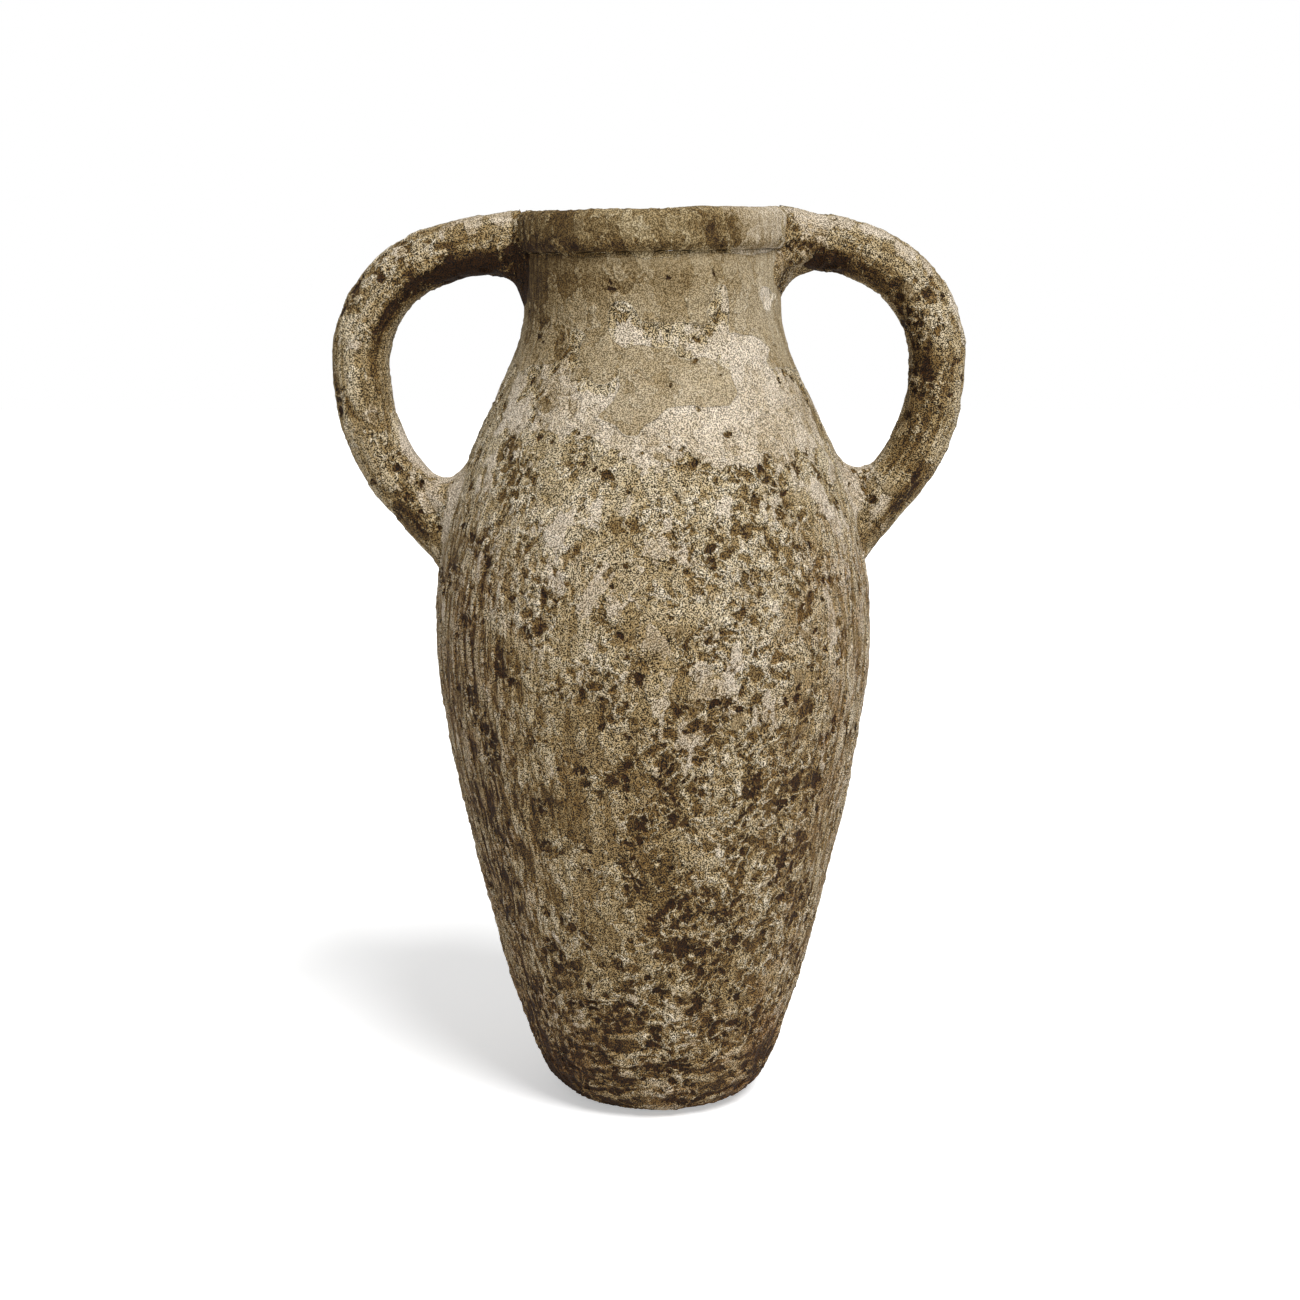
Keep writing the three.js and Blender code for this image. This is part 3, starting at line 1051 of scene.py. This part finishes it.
def pot_radius(x, z):
    """Radius of the pot's outside at height z, rim and tilt included."""
    level = z - tilt_at(np.clip(x, -RIM_RADIUS, RIM_RADIUS), z)
    outer = RIM_SECTION[RIM_SECTION[:, 0] > RIM_SECTION[:, 0].mean()]
    outer = outer[np.argsort(outer[:, 1])]
    band = np.interp(level, outer[:, 1], outer[:, 0], left=0, right=0)
    return np.maximum(radius_at(level), band)


# ---------- handles ----------

RAY_TURNS = np.linspace(104, -72, 70)  # in degrees above level, from the upper root round to the lower one
COIL_SMOOTHING = 4 * MM
END_LINKS = 6  # how many points of the coil's line give the direction in which it is led on
ROOT_TESTS = 900  # places along the coil that are tried for the one where it meets the wall
CRACK_DEPTH = 2.5 * MM
CRACK_PLACE, CRACK_HALF = 1.0 * MM, 1.8 * MM  # how far along the coil from the rim the crack lies


class Coil:
    """A handle's round coil, followed from its upper root to its lower one."""

    def __init__(self, node, side):
        self.node, self.side = node, side
        self.low, self.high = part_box(node)
        self.depth = (self.high.y - self.low.y) / 2
        self.line, self.thickness = self.measure()
        self.bury_ends()
        along = headings(self.line)
        self.out = np.stack([-along[:, 2], 0 * along[:, 1], along[:, 0]], axis=1) * side
        self.across = np.cross(along, self.out)
        self.arc = running_length(self.line)

    def measure(self):
        """The coil's middle line and half its thickness, from rays that go out of the loop's middle."""
        level = (self.low.z + self.high.z) / 2
        reach = max(abs(self.low.x), abs(self.high.x))
        pivot = np.array([self.side * (radius_at(level) + reach - 2 * self.depth) / 2, 0, level])
        tree = skin_tree(self.node)
        middles, chords, rays = [], [], []
        for turn in np.radians(RAY_TURNS):
            ray = np.array([self.side * math.cos(turn), 0, math.sin(turn)])
            near = cast(tree, pivot, ray)
            inside_coil = near + 5 * MM
            far = inside_coil + cast(tree, pivot + ray * inside_coil, ray)
            middles.append(pivot + ray * (near + far) / 2)
            chords.append(far - near)
            rays.append(ray)
        line = soften(resample(middles, COIL_STEP), COIL_STEP, COIL_SMOOTHING)
        square = np.linalg.norm(np.cross(headings(np.array(middles)), np.array(rays)), axis=1)
        return line, np.median(np.array(chords) * square) / 2

    def bury_ends(self):
        """Leads both ends on until they are inside the wall."""
        for end in (0, -1):
            step = self.line[end] - self.line[END_LINKS if end == 0 else -1 - END_LINKS]
            step *= COIL_STEP / np.linalg.norm(step)
            tip = [self.line[end]]
            while abs(tip[-1][0]) > pot_radius(tip[-1][0], tip[-1][2]) - BURIED:
                tip.append(tip[-1] + step)
            extra = tip[1:]
            self.line = np.concatenate([extra[::-1], self.line] if end == 0 else [self.line, extra])

    def skin(self, arc, angle):
        """Points of the coil's skin. The angle is 0 away from the loop and 90 degrees along self.across."""
        lines = (self.line, self.out, self.across)
        place, out, across = (per_axis(lambda axis: np.interp(arc, self.arc, axis), line) for line in lines)
        thick, deep = self.thickness * np.cos(angle), self.depth * np.sin(angle)
        return place + thick[..., None] * out + deep[..., None] * across

    def root(self, angle, upper):
        """Arc length at which the skin at this angle meets the wall."""
        arcs = np.linspace(0, self.arc[-1], ROOT_TESTS)
        angles = np.asarray(angle)
        points = self.skin(arcs[:, None] + 0 * angles[None, :], angles[None, :] + 0 * arcs[:, None])
        clear = np.hypot(points[..., 0], points[..., 1]) > pot_radius(points[..., 0], points[..., 2])
        if upper:
            return arcs[np.argmax(clear, axis=0)]
        return arcs[::-1][np.argmax(clear[::-1], axis=0)]


def keep_in_wall(points):
    """Presses what lies too deep under the pot's skin back, so that no end pokes into the hollow."""
    radius = np.hypot(points[..., 0], points[..., 1])
    least = pot_radius(points[..., 0], points[..., 2]) - BURIED
    factor = np.maximum(1, least / np.maximum(radius, 1e-6))
    return np.stack([points[..., 0] * factor, points[..., 1] * factor, points[..., 2]], axis=-1)


def crack_at_root(coil, arc, angle):
    """How open the joint is round the upper root of the left handle, which was butted on, 0 to 1."""
    if coil.side > 0:
        return np.zeros_like(arc)
    off = (arc - coil.root(angle[0], upper=True) - CRACK_PLACE) / CRACK_HALF
    return np.exp(-off ** 2) * ramp(np.cos(angle), -0.5, 0.1)


def handle_piece(coil, material):
    angle = 2 * math.pi * np.arange(COIL_COLUMNS) / COIL_COLUMNS
    arc = np.repeat(coil.arc[:, None], COIL_COLUMNS, axis=1)
    angle = np.repeat(angle[None, :], len(coil.arc), axis=0)
    points = coil.skin(arc, angle)
    outward = directions(points)
    crack = crack_at_root(coil, arc, angle)
    points = keep_in_wall(points - CRACK_DEPTH * crack[..., None] * outward)
    poles = [points[0].mean(axis=0), points[-1].mean(axis=0)]
    piece = make_piece(coil.node + "_clay", lean(points), np.linspace(0, 1, len(coil.arc)), poles=poles)
    rest = np.concatenate([points.reshape(-1, 3), poles])
    radius = (coil.thickness + coil.depth) / 2
    grain = np.stack([radius * np.cos(angle), radius * np.sin(angle), arc], axis=-1).reshape(-1, 3)
    share = np.append((arc / coil.arc[-1]).ravel(), [0, 1])
    turn = np.append((coil.side * angle).ravel(), [0, 0])
    paint_handle(piece, coil.side, share, turn, np.append(crack.ravel(), [0, 0]))
    at_poles = np.zeros((2, 3))
    grain, outward = np.concatenate([grain, at_poles]), np.concatenate([outward.reshape(-1, 3), at_poles])
    finish_piece(piece, rest, grain, outward, coil.node, material)


# ---------- wads: clay pressed round the roots of the handles ----------

WAD_SINK = 0.5 * MM  # how deep the wad's edges dive under the coil and the wall
WAD_BACK = 3 * MM  # how deep behind the corner its hidden back lies
UNDER_RIM = 2 * MM  # a wad ends this far under the handle's top


def edge_on_wall(coil, corner, distance):
    """Points on the wall that lie the given distance from the corner, away from the coil's middle."""
    middle = corner.mean(axis=0)
    around = np.arctan2(corner[:, 0] * coil.side, -corner[:, 1] * coil.side)
    radius = np.hypot(corner[:, 0], corner[:, 1])
    sideways = around * radius - np.arctan2(middle[0] * coil.side, -middle[1] * coil.side) * radius
    upwards = corner[:, 2] - middle[2]
    reach = np.maximum(np.hypot(sideways, upwards), 1e-6)
    turn = around + distance * sideways / reach / radius
    height = np.minimum(corner[:, 2] + distance * upwards / reach, coil.high.z - UNDER_RIM)
    x, y = coil.side * np.sin(turn), -coil.side * np.cos(turn)
    wall = pot_radius(x * radius, height)
    return np.stack([x * wall, y * wall, height], axis=1)


def wad_flank(coil, upper, look):
    """The wad's hollow outside, from its edge on the coil to its edge on the wall, and the corner."""
    angle = 2 * math.pi * np.arange(WAD_COLUMNS) / WAD_COLUMNS
    root = coil.root(angle, upper)
    corner = coil.skin(root, angle)
    in_loop = ramp(-np.cos(angle), -0.1, 0.9)
    ragged = 1 + 0.22 * np.sin(3 * angle + look.phase) + 0.13 * np.sin(7 * angle + 2 * look.phase)
    on_coil = (look.thin + (look.coil - look.thin) * in_loop) * ragged * MM
    on_wall = (look.thin + (look.wall - look.thin) * in_loop) * ragged[::-1] * MM
    start = coil.skin(root + (1 if upper else -1) * on_coil, angle)
    end = edge_on_wall(coil, corner, on_wall)
    knee = corner + look.fill * ((start + end) / 2 - corner)
    t = np.linspace(0, 1, WAD_ROWS)[:, None, None]
    flank = (1 - t) ** 2 * start + 2 * t * (1 - t) * knee + t ** 2 * end
    if upper:
        angle, corner, flank = angle[::-1], corner[::-1], flank[:, ::-1]
    return flank, corner, angle


def wad_back(flank, corner, outward):
    """Three hidden rows that close the wad behind its flank."""
    share = np.array([0.9, 0.5, 0.1])[:, None, None]
    under = flank[-1:] * share + flank[:1] * (1 - share)
    inner = corner - WAD_BACK * outward[WAD_ROWS // 2]
    return under + np.array([0.25, 1.0, 0.25])[:, None, None] * (inner - under[1])


def wad_piece(node, coil, upper, material):
    """A collar with a hollow flank from the coil to the wall, wide in the loop and thin outside it."""
    look = WADS[node]
    flank, corner, angle = wad_flank(coil, upper, look)
    outward = directions(flank)
    edge_share = np.linspace(-1, 1, WAD_ROWS)[:, None, None] ** 6
    flank = flank - edge_share * WAD_SINK * outward
    back = wad_back(flank, corner, outward)
    points = np.concatenate([flank, back])
    rows = len(points)
    piece = make_piece(node + "_clay", lean(points), np.linspace(0, 1, rows + 1), wrap_rows=True)
    push = np.concatenate([outward, np.zeros_like(back)]).reshape(-1, 3)
    rest = points.reshape(-1, 3)
    paint_wad(piece, look, np.tile(angle * coil.side, rows))
    finish_piece(piece, rest, rest, push, node, material)


# ---------- stage, camera and light ----------

SENSOR_WIDTH, LENS = 36.0, 62.4  # both in mm
CAMERA_PLACE = (-1.6 * MM, -1.4, 0.54)
CAMERA_DOWN = 10.24  # how far the camera looks down, in degrees
FLOOR_HALF = 6.0  # half the floor's width
FLOOR_PAINT = (0.9, 0.9, 0.9, 1)
FLOOR_GLOW = 0.42  # light that only the camera sees, which turns the floor white
WHITE = (1, 1, 1, 1)
SKY_LIGHT = 0.4  # strength of the white sky as a light; the camera sees it at full strength
KEY_TOWARD, KEY_STRENGTH, KEY_SOFTNESS = (0.45, -0.75, 1.15), 3.0, 26


def place_camera():
    data = bpy.data.cameras.new("camera")
    data.sensor_width = SENSOR_WIDTH
    data.lens = LENS
    camera = add_object("camera", data)
    camera.location = CAMERA_PLACE
    camera.rotation_euler = (math.radians(90 - CAMERA_DOWN), 0, 0)
    bpy.context.scene.camera = camera


def sun_light(name, toward, strength, softness):
    """A distant light that comes from the direction toward. softness is in degrees."""
    data = bpy.data.lights.new(name, "SUN")
    data.energy = strength
    data.angle = math.radians(softness)
    add_object(name, data).rotation_euler = Vector(toward).to_track_quat("Z", "Y").to_euler()


def build_floor():
    mesh = bpy.data.meshes.new("floor")
    corners = [(x * FLOOR_HALF, y * FLOOR_HALF, 0) for x, y in ((-1, -1), (1, -1), (1, 1), (-1, 1))]
    mesh.from_pydata(corners, [], [(0, 1, 2, 3)])
    material, n, shader = new_material("floor_paint")
    shader.inputs["Base Color"].default_value = FLOOR_PAINT
    shader.inputs["Roughness"].default_value = 0.9
    shader.inputs["Emission Color"].default_value = WHITE
    seen = n.add("ShaderNodeLightPath", {}).outputs["Is Camera Ray"]
    n.tree.links.new(n.times(seen, FLOOR_GLOW), shader.inputs["Emission Strength"])
    mesh.materials.append(material)
    add_object("floor", mesh)


def build_sky():
    world = bpy.data.worlds.new("studio")
    world.use_nodes = True
    n = Nodes(world.node_tree)
    background = world.node_tree.nodes["Background"]
    background.inputs["Color"].default_value = WHITE
    seen = n.add("ShaderNodeLightPath", {}).outputs["Is Camera Ray"]
    n.tree.links.new(n.step(seen, 0.0, 1.0, SKY_LIGHT, 1.0), background.inputs["Strength"])
    bpy.context.scene.world = world
    bpy.context.scene.view_settings.view_transform = "Standard"


# ---------- putting it together ----------

def build_pot():
    slab_top, belly, shoulder_top, neck_top = JOINTS
    wall_clay = clay_material("wall_clay")
    wall_piece("lower_body", slab_top, belly, wall_clay)
    wall_piece("upper_body", belly, shoulder_top, wall_clay)
    wall_piece("neck", shoulder_top, neck_top, clay_material("neck_clay"))
    base_piece(clay_material("foot_clay"))
    rim_piece(clay_material("rim_clay"))


def build_handles():
    handle_clay, wad_clay = clay_material("handle_clay"), clay_material("wad_clay")
    for name, side in (("left", -1), ("right", 1)):
        coil = Coil("handle_" + name, side)
        handle_piece(coil, handle_clay)
        for place in ("upper", "lower"):
            wad_piece(f"handle_{name}_{place}_wad", coil, place == "upper", wad_clay)


build_pot()
build_handles()
build_floor()
build_sky()
place_camera()
sun_light("key", KEY_TOWARD, KEY_STRENGTH, KEY_SOFTNESS)
